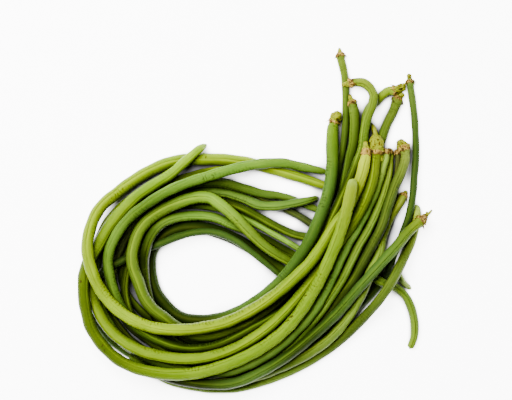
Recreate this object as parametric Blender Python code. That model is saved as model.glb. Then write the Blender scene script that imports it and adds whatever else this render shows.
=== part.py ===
"""A bunch of seventeen yardlong beans, curled round into a loose ring and lying on a table.

Every pod is one solid, grown in one piece: a stub of stem, a knobby receptacle, a dry collar and a
long slim body that narrows to its tip. A pod's course is a short list of route points. The laying
rule then lifts each pod over the ones it crosses and lets it down on them, so that no two touch.
The script's unit is the millimetre until the meshes are made, which are in metres with +Z up.
"""

import math

import bpy
import numpy as np

MM = 0.001

# How the skins are made
SIDES = 8
CHORD_ERROR = 0.26      # how far a straight stretch may stand off the curve
SHORTEST_STEP = 5.0
LONGEST_STEP = 15.0
ROUTE_STEP = 1.0        # spacing of the fine points that a course is read from

# How the pods are laid
POD_GAP = 0.55          # clear space kept between two pods
LEVEL_HEIGHT = 8.6      # height of one layer of pods when they are set down
PRESS = 0.10            # share of the radius that the flat underside takes off
FALL = 0.10             # how far a pod sinks in one pass
HOLD_SHOWN = 0.12       # pull back to its course of a stretch that lies on top
HOLD_HIDDEN = 0.03      # the same for a stretch that others cover
SIDEWAYS = 0.25         # how readily a stretch on top is pushed aside, against how readily it is lifted
COVER_REACH = 1.4       # in radii, how far off in plan a pod above still covers a stretch
STIFFNESS = 0.30
LAYING_PASSES = 420
CLEARING_PASSES = 160
REACH = 3.0             # how far apart two stretches may be and still be watched
SELF_SPAN = 45.0        # stretches of one pod closer than this along it never meet

# How a pod begins, from its stem end: distance along it, share of the body's radius
ENDS = {
    "collar": [(0.0, 0.24), (2.4, 0.30), (4.6, 0.50), (7.0, 0.66), (9.4, 0.60), (11.2, 0.82),
               (14.5, 0.93), (22.0, 1.00)],
    "flare": [(0.0, 0.34), (2.6, 0.42), (4.6, 0.80), (6.2, 1.14), (8.4, 1.02), (13.0, 1.00)],
    "twig": [(0.0, 0.16), (4.0, 0.22), (7.5, 0.34), (9.5, 0.62), (11.5, 0.92), (14.0, 0.84),
             (22.0, 1.00)],
    "curled": [(0.0, 0.40), (1.8, 0.70), (4.2, 0.84), (7.0, 0.74), (9.0, 0.70), (11.5, 0.88),
               (16.0, 0.95), (24.0, 1.00)],
    "long_knob": [(0.0, 0.26), (3.0, 0.38), (10.0, 0.46), (12.5, 0.90), (16.0, 1.24), (20.0, 1.24),
                  (24.0, 0.94), (28.0, 0.95), (35.0, 1.00)],
    "knob": [(0.0, 0.56), (1.8, 0.92), (4.6, 1.14), (7.4, 1.00), (9.6, 0.84), (13.0, 0.94),
             (20.0, 1.00)],
    "dry": [(0.0, 0.50), (1.2, 0.80), (3.0, 0.86), (6.0, 0.92), (14.0, 1.00)],
    "broken": [(0.0, 0.52), (1.2, 0.82), (4.0, 0.95), (12.0, 1.00)],
}
# How it ends, from its tip
TIPS = {
    "tapered": [(70.0, 1.00), (40.0, 0.93), (18.0, 0.82), (6.0, 0.68), (2.0, 0.50), (0.0, 0.22)],
    "cut": [(70.0, 1.00), (40.0, 0.98), (18.0, 1.04), (6.0, 0.92), (1.5, 0.84), (0.0, 0.76)],
    "round": [(70.0, 1.00), (40.0, 0.93), (18.0, 0.86), (6.0, 0.78), (2.0, 0.66), (0.0, 0.40)],
}

# Pods that are slimmer for a while from the stem end on: share of the thickness there
NECKS = {"pod_06": 0.78}
NECK_LENGTH = 55.0
NECK_GROWS = 60.0       # stretch over which the neck grows to the full thickness

GREENS = {
    "pale": (0.42, 0.56, 0.10),
    "bright": (0.33, 0.50, 0.05),
    "leaf": (0.22, 0.38, 0.04),
    "olive": (0.26, 0.36, 0.05),
    "deep": (0.13, 0.28, 0.03),
}

# Every pod: thickest diameter, colour, shape of its beginning and of its end, and its course from the
# stem end as points (x, y, layer).
# x and y are in millimetres, and the layer counts pods from the floor at 0.
PODS = {
    # the palest pod, lying on top most of the way round
    "pod_01": (8.8, "pale", "collar", "tapered", [
        (77, 54, 2.2), (77, 43, 2.2), (75, 33, 2.2), (70, 20, 2), (64, 7, 1.8), (57, -4, 2),
        (48, -17, 2.4), (35, -32, 2.6), (21, -46, 2.6), (9, -56, 2.6), (-4, -64, 2.6), (-18, -71, 2.6),
        (-39, -76, 2.6), (-60, -77, 2.6), (-77, -74, 2.6), (-95, -64, 2.6), (-108, -49, 2.6),
        (-114, -36, 2.5), (-117, -20, 2.1), (-115, -6, 1.8), (-110, 6, 1.4), (-95, 20, 1),
        (-74, 34, 0.5), (-53, 42, 0.2), (-28, 42, 0.1), (-7, 40, 0), (17, 34, 0), (38, 27, 0),
        (53, 22, 0),
    ]),
    # snapped off at its stem end, outermost on the left, its tip crossing over pod_01
    "pod_02": (8.8, "pale", "broken", "tapered", [
        (68, 26, 3.2), (66, 17, 3), (61, -1, 2.8), (56, -15, 2.4), (50, -29, 2.2), (44, -43, 2.1),
        (36, -57, 2.1), (26, -71, 2.1), (12, -84, 2.1), (-4, -94, 2.1), (-25, -103, 2.1),
        (-46, -108, 2.1), (-64, -108, 2), (-80, -105, 1.9), (-93, -100, 1.8), (-101, -94, 1.7),
        (-107, -88, 1.6), (-112, -81, 1.4), (-116, -73, 1.2), (-118, -62, 1.1), (-119, -50, 1),
        (-117, -35, 1), (-110, -20, 1.1), (-98, -1, 1.3),
        (-82, 15, 1.5), (-67, 25, 1.6), (-53, 36, 1.6), (-44, 45, 1.7), (-35, 52, 1.8),
    ]),
    # stem end on the left, innermost at the back of the ring, crossing over its own tip
    "pod_03": (9.0, "leaf", "curled", "tapered", [
        (60, 74, 0.6), (57, 72, 0.7), (55, 67, 0.8), (54, 59, 0.9), (54, 45, 1.2), (53, 27, 1.5), (50, 13, 1.7),
        (46, -1, 1.8), (41, -15, 1.8), (33, -29, 1.8), (24, -41, 1.7), (12, -54, 1.4), (-3, -64, 1.2),
        (-20, -71, 1), (-38, -73, 1), (-54, -69, 1), (-64, -60, 0.8), (-71, -50, 0.7), (-74, -36, 0.6),
        (-73, -23, 0.5), (-65, -12, 0.4), (-51, -6, 0.3), (-37, -6, 0.2), (-21, -10, 0.1),
        (-4, -20, 0), (10, -30, 0), (20, -38, 0), (26, -43, 0),
    ]),
    # slim, with the topmost stem end, along the floor for most of its length
    "pod_04": (5.6, "deep", "flare", "tapered", [
        (59, 120, 0), (60, 113, 0), (63, 102, 0), (64, 87, 0), (64, 71, 0), (63, 57, 0.1),
        (61, 38, 0.3), (57, 17, 0.4), (51, 0, 0.4), (46, -15, 0.4), (38, -27, 0.3), (28, -40, 0.2),
        (16, -52, 0.1), (0, -63, 0), (-20, -74, 0), (-42, -79, 0), (-63, -78, 0), (-81, -69, 0),
        (-91, -55, 0), (-94, -39, 0), (-92, -23, 0), (-83, -8, 0), (-68, 5, 0), (-49, 10, 0),
        (-32, 9, 0.2), (-14, 4, 0.6), (3, -6, 0.8), (17, -14, 0.6), (31, -22, 0.3), (39, -26, 0.1),
    ]),
    # beside pod_04, then the upper back of the ring
    "pod_05": (7.7, "leaf", "collar", "tapered", [
        (66, 87, 0.4), (68, 81, 0.5), (70, 69, 0.6), (70, 55, 0.7), (67, 41, 0.8), (63, 27, 0.9),
        (58, 12, 0.6), (54, -2, 0.4), (50, -18, 0.4), (43, -33, 0.4), (33, -48, 0.4), (21, -60, 0.5),
        (9, -69, 0.6), (-9, -80, 0.8), (-28, -89, 0.8), (-46, -91, 0.8), (-67, -85, 0.9),
        (-84, -74, 1.1), (-95, -59, 1.3), (-101, -43, 1.5), (-103, -27, 1.6), (-99, -13, 1.7),
        (-89, 0, 1.8), (-75, 11, 1.8), (-58, 21, 1.8), (-39, 28, 1.8), (-19, 34, 1.6), (0, 38, 1.4),
        (19, 39, 1.2), (35, 36, 1), (50, 33, 0.9),
    ]),
    # its stem end hooks right over pod_04, and it shows again inside the ring
    "pod_06": (8.8, "bright", "collar", "tapered", [
        (61, 94, 1.1), (66, 95, 1.1), (71, 96, 0.9), (77, 95, 0.8), (81, 91, 0.8), (83, 85, 0.9),
        (81, 78, 1), (77, 66, 0.9), (75, 50, 0.8), (70, 36, 0.9), (63, 17, 1), (55, -1, 1.1),
        (47, -17, 1.1), (37, -31, 0.9), (30, -41, 0.7), (21, -50, 0.5), (7, -64, 0.5), (-11, -76, 0.5),
        (-28, -82, 0.5), (-46, -81, 0.6), (-63, -71, 0.9), (-76, -58, 1.3), (-82, -43, 1.6),
        (-86, -29, 1.8), (-83, -15, 1.9), (-75, -1, 2), (-61, 8, 2), (-46, 14, 2), (-33, 15, 2),
        (-23, 9, 1.9), (-11, -2, 1.5), (3, -16, 1.1), (17, -26, 0.6), (26, -31, 0.3), (32, -35, 0.1),
    ]),
    # low down behind the hook
    "pod_07": (6.3, "deep", "flare", "tapered", [
        (105, 94, 0.2), (102, 92, 0.2), (98, 90, 0.2), (94, 90, 0.2), (90, 88, 0.2), (86, 84, 0.2),
        (80, 80, 0), (76, 74, 0), (73, 62, 0),
        (70, 45, 0), (66, 26, 0), (63, 8, 0), (58, -9, 0), (51, -24, 0), (40, -41, 0), (27, -55, 0),
        (10, -69, 0), (-7, -79, 0), (-26, -85, 0), (-46, -85, 0), (-67, -80, 0), (-84, -69, 0),
        (-96, -55, 0), (-102, -37, 0), (-102, -22, 0.1), (-95, -6, 0.2), (-81, 8, 0.3), (-63, 18, 0.6),
        (-46, 24, 0.8), (-30, 26, 0.7), (-14, 23, 0.4), (3, 18, 0.2), (21, 15, 0.1), (35, 10, 0),
        (47, 5, 0),
    ]),
    # slim, the long one on the right, low round the outside and then the ring's inner edge
    "pod_08": (5.2, "deep", "flare", "tapered", [
        (108, 101, 0.3), (109, 92, 0.3), (111, 80, 0.4), (112, 66, 0.6), (113, 48, 0.8),
        (112, 33, 1.1), (110, 10, 1.3), (107, -2, 0.9), (100, -19, 0.4), (91, -38, 0.1), (80, -54, 0),
        (66, -68, 0), (49, -81, 0), (28, -95, 0), (5, -103, 0), (-18, -108, 0), (-39, -107, 0),
        (-63, -104, 0), (-86, -97, 0), (-103, -84, 0), (-113, -66, 0), (-115, -48, 0.4),
        (-107, -37, 0.7), (-93, -29, 0.8), (-77, -21, 0.9), (-63, -16, 0.8), (-46, -10, 0.8),
        (-30, -9, 0.8), (-14, -15, 0.6), (1, -26, 0.3), (16, -38, 0.1), (22, -43, 0),
    ]),
    # low down, then inside the ring
    "pod_09": (7.3, "leaf", "flare", "tapered", [
        (103, 88, 0.2), (100, 84, 0.3), (98, 78, 0.4), (93, 67, 0.5), (90, 57, 0.7), (88, 48, 0.7),
        (83, 33, 0.5), (77, 14, 0.4),
        (70, -5, 0.3), (63, -20, 0.2), (54, -36, 0.1), (44, -51, 0), (30, -66, 0), (14, -78, 0),
        (-7, -88, 0), (-28, -92, 0), (-47, -91, 0), (-61, -80, 0.1), (-70, -64, 0.2), (-76, -46, 0.5),
        (-78, -30, 0.7), (-74, -13, 0.8), (-63, -1, 0.9), (-46, 2, 1), (-32, 1, 0.9), (-16, -6, 0.5),
        (2, -12, 0.2), (17, -20, 0), (28, -26, 0), (35, -30, 0),
    ]),
    # the big knob in the middle of the stem ends
    "pod_10": (8.0, "bright", "long_knob", "tapered", [
        (82, 67, 1.6), (84, 61, 1.6), (85, 54, 1.7), (85, 48, 1.7), (84, 41, 1.7), (81, 24, 1.6), (75, 10, 1.5), (67, -5, 1.5),
        (57, -19, 1.6), (46, -33, 1.7), (37, -46, 1.8), (26, -59, 1.8), (13, -72, 1.8), (-2, -83, 1.8),
        (-21, -93, 1.8), (-42, -97, 1.8), (-61, -96, 1.8), (-80, -92, 1.7), (-94, -84, 1.6),
        (-102, -77, 1.5), (-108, -68, 1.3), (-112, -59, 1.2), (-114, -48, 1), (-114, -34, 0.6), (-109, -18, 0.2), (-99, -3, 0),
        (-84, 9, 0), (-66, 18, 0), (-50, 24, 0), (-35, 30, 0.1), (-21, 36, 0.2),
    ]),
    # right of pod_02 down the straight stretch, its tip in the gap behind
    "pod_11": (7.7, "leaf", "dry", "tapered", [
        (91, 48, 1.3), (91, 43, 1.3), (89, 36, 1.3), (84, 19, 1.4), (77, 4, 1.5), (69, -10, 1.5),
        (62, -22, 1.5), (56, -36, 1.6), (49, -50, 1.6), (41, -64, 1.6), (29, -78, 1.5), (14, -92, 1.4),
        (-6, -103, 1.2), (-26, -108, 0.9), (-49, -106, 0.6), (-70, -100, 0.4), (-89, -89, 0.2),
        (-102, -72, 0), (-109, -54, 0), (-110, -36, 0), (-104, -17, 0), (-92, -1, 0), (-75, 10, 0),
        (-56, 15, 0), (-39, 16, 0), (-23, 16, 0.2), (-9, 13, 0.6), (5, 9, 0.8), (21, 10, 0.9),
        (33, 12, 0.9), (44, 15, 1),
    ]),
    # with a strong ridge, its tip coming out on the right under everything
    "pod_12": (6.3, "bright", "dry", "cut", [
        (96, 48, 1.2), (95, 43, 1.2), (94, 34, 1.3), (91, 20, 1.3), (86, 6, 1.4), (79, -8, 1.5),
        (70, -22, 1.6), (64, -36, 1.6), (56, -50, 1.6), (47, -64, 1.5), (35, -78, 1.5), (21, -92, 1.3),
        (0, -102, 1), (-21, -104, 0.6), (-46, -99, 0.3), (-67, -91, 0.1), (-82, -78, 0), (-91, -62, 0),
        (-92, -43, 0.2), (-88, -27, 0.3), (-81, -10, 0.5), (-68, 3, 0.8), (-51, 11, 1), (-35, 14, 1),
        (-21, 13, 0.9), (-7, 8, 0.9), (7, -1, 0.6), (21, -8, 0.4), (35, -13, 0.1), (52, -20, 0),
        (70, -28, 0), (86, -38, 0.2), (99, -46, 0.9), (104, -51, 0.8), (108, -58, 0.4), (111, -68, 0), (112, -78, 0),
        (111, -85, 0), (109, -90, 0),
    ]),
    # low in the middle, its short tip out on the right
    "pod_13": (5.6, "olive", "dry", "round", [
        (99, 48, 0.9), (98, 43, 0.9), (97, 34, 0.9), (92, 19, 0.8), (84, 1, 0.7), (75, -15, 0.6),
        (66, -30, 0.5), (56, -46, 0.4), (45, -62, 0.3), (31, -76, 0.2), (14, -90, 0.1), (-5, -100, 0),
        (-26, -104, 0), (-49, -100, 0), (-70, -90, 0), (-86, -76, 0), (-96, -59, 0.1),
        (-100, -41, 0.1), (-96, -22, 0.2), (-86, -5, 0.3), (-72, 9, 0.2), (-54, 20, 0), (-35, 25, 0),
        (-18, 23, 0), (0, 15, 0), (14, 10, 0), (28, 4, 0), (44, -3, 0), (59, -12, 0), (75, -24, 0),
        (89, -36, 0), (100, -44, 0), (109, -49, 0),
    ]),
    # a big knob, then deep in the ring
    "pod_14": (7.3, "olive", "knob", "tapered", [
        (101, 54, 1.7), (103, 51, 1.7), (105, 45, 1.7), (104, 38, 1.7), (101, 31, 1.8), (95, 17, 1.8),
        (92, 9, 1.8), (88, -4, 1.8),
        (81, -19, 1.7), (71, -36, 1.7), (63, -50, 1.6), (53, -64, 1.5), (41, -78, 1.3), (26, -92, 1),
        (5, -102, 0.7), (-18, -107, 0.4), (-39, -108, 0.2), (-63, -105, 0.1), (-84, -94, 0),
        (-98, -78, 0), (-107, -60, 0), (-109, -42, 0),
    ]),
    # low on the right
    "pod_15": (7.7, "olive", "collar", "tapered", [
        (106, 19, 1.1), (102, 13, 1.1), (95, 5, 1), (91, -4, 0.9), (88, -14, 0.8), (86, -24, 0.6), (82, -36, 0.6),
        (77, -49, 0.7), (68, -64, 0.8), (54, -82, 0.8), (36, -95, 0.7), (16, -104, 0.6),
        (-6, -111, 0.5), (-28, -113, 0.5), (-53, -111, 0.5), (-72, -105, 0.5), (-87, -97, 0.5),
    ]),
    # the forked twig, crossing over pod_08, pod_15 and pod_17
    "pod_16": (7.7, "leaf", "twig", "tapered", [
        (124, 6, 1.8), (120, 2, 1.8), (115, -2, 1.8), (108, -8, 1.9), (98, -20, 2), (84, -35, 2), (70, -51, 1.9),
        (56, -67, 1.7), (42, -80, 1.5), (24, -94, 1.4), (5, -105, 1.3), (-14, -113, 1.2),
        (-37, -114, 1), (-58, -111, 0.8), (-76, -103, 0.6), (-88, -96, 0.5),
    ]),
    # outermost on the right, flat on the floor
    "pod_17": (7.0, "olive", "broken", "tapered", [
        (113, 9, 0.4), (113, 2, 0.4), (110, -13, 0.5), (103, -29, 1.2), (95, -43, 1.6),
        (85, -58, 1), (74, -71, 0.2), (58, -86, 0.1), (39, -99, 0), (18, -109, 0), (-5, -115, 0),
        (-26, -116, 0), (-45, -114, 0), (-62, -109, 0), (-74, -102, 0),
    ]),
}


def smooth_route(points):
    """Fine points along the smooth curve through a course's route points."""
    route = np.array(points, float)
    chords = np.linalg.norm(np.diff(route[:, :2], axis=0), axis=1)
    knots = np.concatenate([[0.0], np.cumsum(chords)])
    slopes = np.gradient(route, knots, axis=0)
    at = np.linspace(0.0, knots[-1], int(knots[-1] / ROUTE_STEP) + 1)
    span = np.clip(np.searchsorted(knots, at, side="right") - 1, 0, len(chords) - 1)
    width = chords[span][:, None]
    share = ((at - knots[span]) / chords[span])[:, None]
    rest = 1 - share
    return (
        route[span] * (1 + 2 * share) * rest**2
        + slopes[span] * width * share * rest**2
        + route[span + 1] * (3 - 2 * share) * share**2
        - slopes[span + 1] * width * share**2 * rest
    )


def stations(fine, end_shape, tip_shape):
    """Distances along the course at which the skin has a ring: close together where it bends."""
    steps = np.linalg.norm(np.diff(fine[:, :2], axis=0), axis=1)
    along = np.concatenate([[0.0], np.cumsum(steps)])
    turn = np.unwrap(np.arctan2(*np.gradient(fine[:, :2], axis=0).T[::-1]))
    bend = np.abs(np.gradient(turn, along))
    bend = np.convolve(bend, np.ones(9) / 9, mode="same")
    wanted = np.clip(np.sqrt(8 * CHORD_ERROR / np.maximum(bend, 1e-4)), SHORTEST_STEP, LONGEST_STEP)
    total = along[-1]
    near_stem = [distance for distance, _ in end_shape]
    near_tip = [total - distance for distance, _ in tip_shape if distance < SHORTEST_STEP * 4]
    count = np.concatenate([[0.0], np.cumsum(steps / wanted[1:])])
    first, last = np.interp([near_stem[-1], near_tip[0]], along, count)
    body = np.interp(np.linspace(first, last, max(int(round(last - first)), 2) + 1), count, along)
    return along, np.array(near_stem + list(body[1:-1]) + near_tip)


def outline(at, total, radius, end_shape, tip_shape):
    """The pod's radius at each station."""
    stem_at, stem_share = zip(*end_shape)
    tip_at, tip_share = zip(*tip_shape[::-1])
    return radius * np.interp(at, stem_at, stem_share) * np.interp(total - at, tip_at, tip_share)


class Heap:
    """All the pods' ring centres as one long list, with what each of them wants."""

    def __init__(self, pods):
        self.start = np.cumsum([0] + [len(pod["centres"]) for pod in pods])
        self.centres = np.vstack([pod["centres"] for pod in pods])
        self.course = self.centres.copy()
        self.radius = np.concatenate([pod["radius"] for pod in pods])
        self.along = np.concatenate([pod["at"] for pod in pods])
        self.owner = np.repeat(np.arange(len(pods)), np.diff(self.start))
        covered = self.covered()
        self.hold = np.where(covered, HOLD_HIDDEN, HOLD_SHOWN)[:, None]
        self.give = np.ones((len(self.centres), 3))
        self.give[:, :2] = np.where(covered, 1.0, SIDEWAYS)[:, None]
        same = self.owner[:-1] == self.owner[1:]
        self.first = np.nonzero(same)[0]
        self.inner = np.nonzero(same[:-1] & same[1:])[0] + 1
        self.floor = self.radius * (1 - PRESS)
        self.centres[:, 2] += self.radius

    def covered(self):
        """Which rings have another pod's ring above them on the courses as they are set out."""
        apart = np.linalg.norm(self.course[:, None, :2] - self.course[None, :, :2], axis=2)
        above = self.course[None, :, 2] > self.course[:, None, 2] + 0.3 * LEVEL_HEIGHT
        other = self.owner[:, None] != self.owner[None]
        return (above & other & (apart < COVER_REACH * self.radius[:, None])).any(axis=1)

    def watch(self):
        """The pairs of stretches that are near enough to touch soon."""
        a, b = self.centres[self.first], self.centres[self.first + 1]
        middle = (a + b) / 2
        half = np.linalg.norm(b - a, axis=1) / 2
        thick = np.maximum(self.radius[self.first], self.radius[self.first + 1])
        apart = np.linalg.norm(middle[:, None] - middle[None], axis=2)
        near = apart < (half + thick)[:, None] + (half + thick)[None] + REACH
        one, two = np.nonzero(np.triu(near, 1))
        same = self.owner[self.first[one]] == self.owner[self.first[two]]
        between = np.abs(self.along[self.first[one]] - self.along[self.first[two]])
        keep = ~same | (between > SELF_SPAN)
        self.one, self.two = self.first[one[keep]], self.first[two[keep]]

    def closest(self):
        """How far along each watched pair of stretches their nearest points are."""
        p, q = self.centres[self.one], self.centres[self.two]
        u, v = self.centres[self.one + 1] - p, self.centres[self.two + 1] - q
        w = p - q
        uu, vv, uv = (u * u).sum(1), (v * v).sum(1), (u * v).sum(1)
        uw, vw = (u * w).sum(1), (v * w).sum(1)
        spread = uu * vv - uv * uv
        crossing = spread > 0.02 * uu * vv
        s = np.where(crossing, (uv * vw - vv * uw) / np.where(crossing, spread, 1.0), 0.5)
        s = np.clip(s, 0, 1)
        t = np.clip((uv * s + vw) / vv, 0, 1)
        s = np.clip((uv * t - uw) / uu, 0, 1)
        return s, t

    def overlaps(self):
        """Nearest points of each watched pair, the way between them, and how much room is short."""
        s, t = self.closest()
        p = self.mix(self.centres, self.one, s)
        q = self.mix(self.centres, self.two, t)
        way = p - q
        distance = np.linalg.norm(way, axis=1)
        room = self.mix(self.radius, self.one, s) + self.mix(self.radius, self.two, t) + POD_GAP
        return s, t, way / np.maximum(distance, 1e-6)[:, None], room - distance

    @staticmethod
    def mix(values, index, share):
        if values.ndim == 2:
            share = share[:, None]
        return values[index] * (1 - share) + values[index + 1] * share

    def part(self, strength):
        """Moves stretches that are too near each other apart."""
        s, t, way, short = self.overlaps()
        hit = short > 0
        s, t, way, short = s[hit], t[hit], way[hit], short[hit]
        moved = np.zeros_like(self.centres)
        shares = np.zeros(len(self.centres))
        for index, share, sign in ((self.one[hit], s, 1), (self.two[hit], t, -1)):
            eased = way * self.give[index]
            eased /= (eased * way).sum(axis=1)[:, None]
            spread = share**2 + (1 - share)**2
            for offset, part in ((0, 1 - share), (1, share)):
                weight = part / spread
                push = sign * eased * (0.5 * strength * short * weight)[:, None]
                np.add.at(moved, index + offset, push)
                np.add.at(shares, index + offset, part)
        self.centres += moved / np.maximum(shares, 1.0)[:, None]
        self.centres[:, 2] = np.maximum(self.centres[:, 2], self.floor)

    def settle(self):
        """Lets every pod sink, and draws it back towards its course and a fair curve."""
        self.centres[:, 2] -= FALL
        self.centres[:, :2] += (self.course - self.centres)[:, :2] * self.hold
        drift = self.centres - self.course
        drift[:, 2] = self.centres[:, 2]
        middle = (drift[self.inner - 1] + drift[self.inner + 1]) / 2
        self.centres[self.inner] += STIFFNESS * (middle - drift[self.inner])
        self.centres[:, 2] = np.maximum(self.centres[:, 2], self.floor)

    def lay(self):
        """Sets the pods down on each other, then clears what still touches."""
        for step in range(LAYING_PASSES):
            if step % 6 == 0:
                self.watch()
            self.settle()
            for _ in range(3):
                self.part(0.8)
        for step in range(CLEARING_PASSES):
            if step % 6 == 0:
                self.watch()
            self.part(1.0)


def skin(centres, radius):
    """Vertices and triangles of a closed skin with a facet of every ring turned to the floor."""
    ahead = np.gradient(centres, axis=0)
    ahead /= np.linalg.norm(ahead, axis=1)[:, None]
    side = np.cross(ahead, (0, 0, 1))
    side /= np.linalg.norm(side, axis=1)[:, None]
    rise = np.cross(side, ahead)
    verts = []
    for index, centre in enumerate(centres):
        for corner in range(SIDES):
            angle = 2 * math.pi * (corner + 0.5) / SIDES - math.pi / 2
            out = math.cos(angle) * side[index] + math.sin(angle) * rise[index]
            verts.append(centre + out * radius[index])
    verts += [centres[0] - ahead[0] * radius[0] * 0.5, centres[-1] + ahead[-1] * radius[-1] * 0.7]
    faces = []
    for ring in range(len(centres) - 1):
        for corner in range(SIDES):
            a = ring * SIDES + corner
            b = ring * SIDES + (corner + 1) % SIDES
            faces += [(a, a + SIDES, b), (b, a + SIDES, b + SIDES)]
    last = (len(centres) - 1) * SIDES
    for corner in range(SIDES):
        after = (corner + 1) % SIDES
        faces += [(len(verts) - 2, corner, after), (len(verts) - 1, last + after, last + corner)]
    verts = np.array(verts)
    verts[:, 2] = np.maximum(verts[:, 2], 0.0)
    return verts, faces


def plain_material(name):
    """A smooth green skin."""
    material = bpy.data.materials.new(name + "_skin")
    material.use_nodes = True
    shader = material.node_tree.nodes["Principled BSDF"]
    shader.inputs["Base Color"].default_value = GREENS[PODS[name][1]] + (1.0,)
    shader.inputs["Roughness"].default_value = 0.45
    shader.inputs["Metallic"].default_value = 0.0
    return material


def set_out(name):
    """One pod on its course, before it is laid."""
    diameter, _, beginning, end, route = PODS[name]
    shapes = ENDS[beginning], TIPS[end]
    fine = smooth_route([(x, y, layer * LEVEL_HEIGHT) for x, y, layer in route])
    along, at = stations(fine, *shapes)
    centres = np.column_stack([np.interp(at, along, fine[:, axis]) for axis in range(3)])
    neck = np.interp(at, (NECK_LENGTH, NECK_LENGTH + NECK_GROWS), (NECKS.get(name, 1.0), 1.0))
    radius = neck * outline(at, along[-1], diameter / 2, *shapes)
    return {"centres": centres, "radius": radius, "at": at}


def add_pod(name, verts, faces):
    """The pod as an object, in metres."""
    mesh = bpy.data.meshes.new(name)
    mesh.from_pydata((verts * MM).tolist(), [], faces)
    mesh.shade_smooth()
    mesh.materials.append(plain_material(name))
    pod = bpy.data.objects.new(name, mesh)
    bpy.context.scene.collection.objects.link(pod)


def main():
    for old in list(bpy.data.objects):
        bpy.data.objects.remove(old, do_unlink=True)
    heap = Heap([set_out(name) for name in PODS])
    heap.lay()
    skins = [
        skin(heap.centres[start:stop], heap.radius[start:stop])
        for start, stop in zip(heap.start, heap.start[1:])
    ]
    points = np.vstack([verts for verts, _ in skins])
    middle = (points.min(axis=0) + points.max(axis=0)) / 2
    middle[2] = 0.0
    for name, (verts, faces) in zip(PODS, skins):
        add_pod(name, verts - middle, faces)


main()
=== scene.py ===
# %% [markdown]
# # A bunch of yardlong beans
#
# Seventeen long green pods are curled round into a loose ring and lie on a pale table. Each pod grew
# as one piece, from the cut stub of its stem to its tip. The solid model gives every pod its place and
# its thickness. This script gives it a bean's skin: sutures, wrinkles, fibres, knobs and colour.
#
# First the solid model is loaded. Its box is kept, because the finished skins must stay inside it.

# %% Load the solid model
import math

import bpy
import numpy as np
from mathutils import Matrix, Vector


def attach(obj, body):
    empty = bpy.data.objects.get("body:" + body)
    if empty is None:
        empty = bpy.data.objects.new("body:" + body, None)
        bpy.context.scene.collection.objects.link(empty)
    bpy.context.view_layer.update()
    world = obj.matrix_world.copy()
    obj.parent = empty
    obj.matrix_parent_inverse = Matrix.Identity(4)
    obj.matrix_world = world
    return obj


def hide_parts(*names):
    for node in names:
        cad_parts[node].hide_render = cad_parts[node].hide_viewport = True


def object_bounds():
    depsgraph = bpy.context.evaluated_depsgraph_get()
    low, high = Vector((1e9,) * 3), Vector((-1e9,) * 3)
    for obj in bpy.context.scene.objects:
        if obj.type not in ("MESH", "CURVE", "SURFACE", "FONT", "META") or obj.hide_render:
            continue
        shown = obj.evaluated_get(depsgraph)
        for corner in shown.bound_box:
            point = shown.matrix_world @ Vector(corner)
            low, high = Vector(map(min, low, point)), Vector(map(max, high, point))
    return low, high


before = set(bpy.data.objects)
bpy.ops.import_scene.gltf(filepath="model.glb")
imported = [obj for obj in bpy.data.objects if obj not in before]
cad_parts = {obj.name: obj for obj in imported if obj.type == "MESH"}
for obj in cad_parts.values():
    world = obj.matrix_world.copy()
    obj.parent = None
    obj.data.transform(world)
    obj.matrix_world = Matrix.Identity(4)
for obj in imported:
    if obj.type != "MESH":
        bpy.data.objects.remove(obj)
MM = 0.001
IN_MM = 1000.0      # turns metres into millimetres inside a tree
CAD_LOW, CAD_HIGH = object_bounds()
POD_NAMES = sorted(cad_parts)
print(len(POD_NAMES), "pods in a box of", [round(side / MM) for side in CAD_HIGH - CAD_LOW], "mm")

# %% [markdown]
# ## The camera
#
# The bunch lies on a table and is seen from straight above. A long lens far above keeps the pods on
# top of the heap nearly the same size as those on the table. The view's middle is a little beyond the
# bunch's own middle, which leaves more room on the side of the stem ends.

# %% Camera
VIEW_WIDTH = 358.4 * MM     # width of the view at the height of most pods
VIEW_MIDDLE = (0.07 * MM, 14.27 * MM)
CAMERA_ABOVE = 2.4
FOCUS_HEIGHT = 14 * MM

camera_data = bpy.data.cameras.new("above")
camera_data.sensor_width = 36.0
camera_data.lens = camera_data.sensor_width * CAMERA_ABOVE / VIEW_WIDTH
camera = bpy.data.objects.new("above", camera_data)
camera.location = (*VIEW_MIDDLE, CAMERA_ABOVE + FOCUS_HEIGHT)
bpy.context.scene.collection.objects.link(camera)
bpy.context.scene.camera = camera
print("lens", round(camera_data.lens, 1), "mm")

# %% [markdown]
# ## Expressions instead of loose nodes
#
# Both the pods' shape and their skin are sums of many small rules: a groove here, a stain there. Wired
# by hand such a sum is a wall of nodes. A small class wraps a socket instead, so that a rule is written
# as arithmetic and each operator adds its Math node. One method, `add`, makes every other node.

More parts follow.
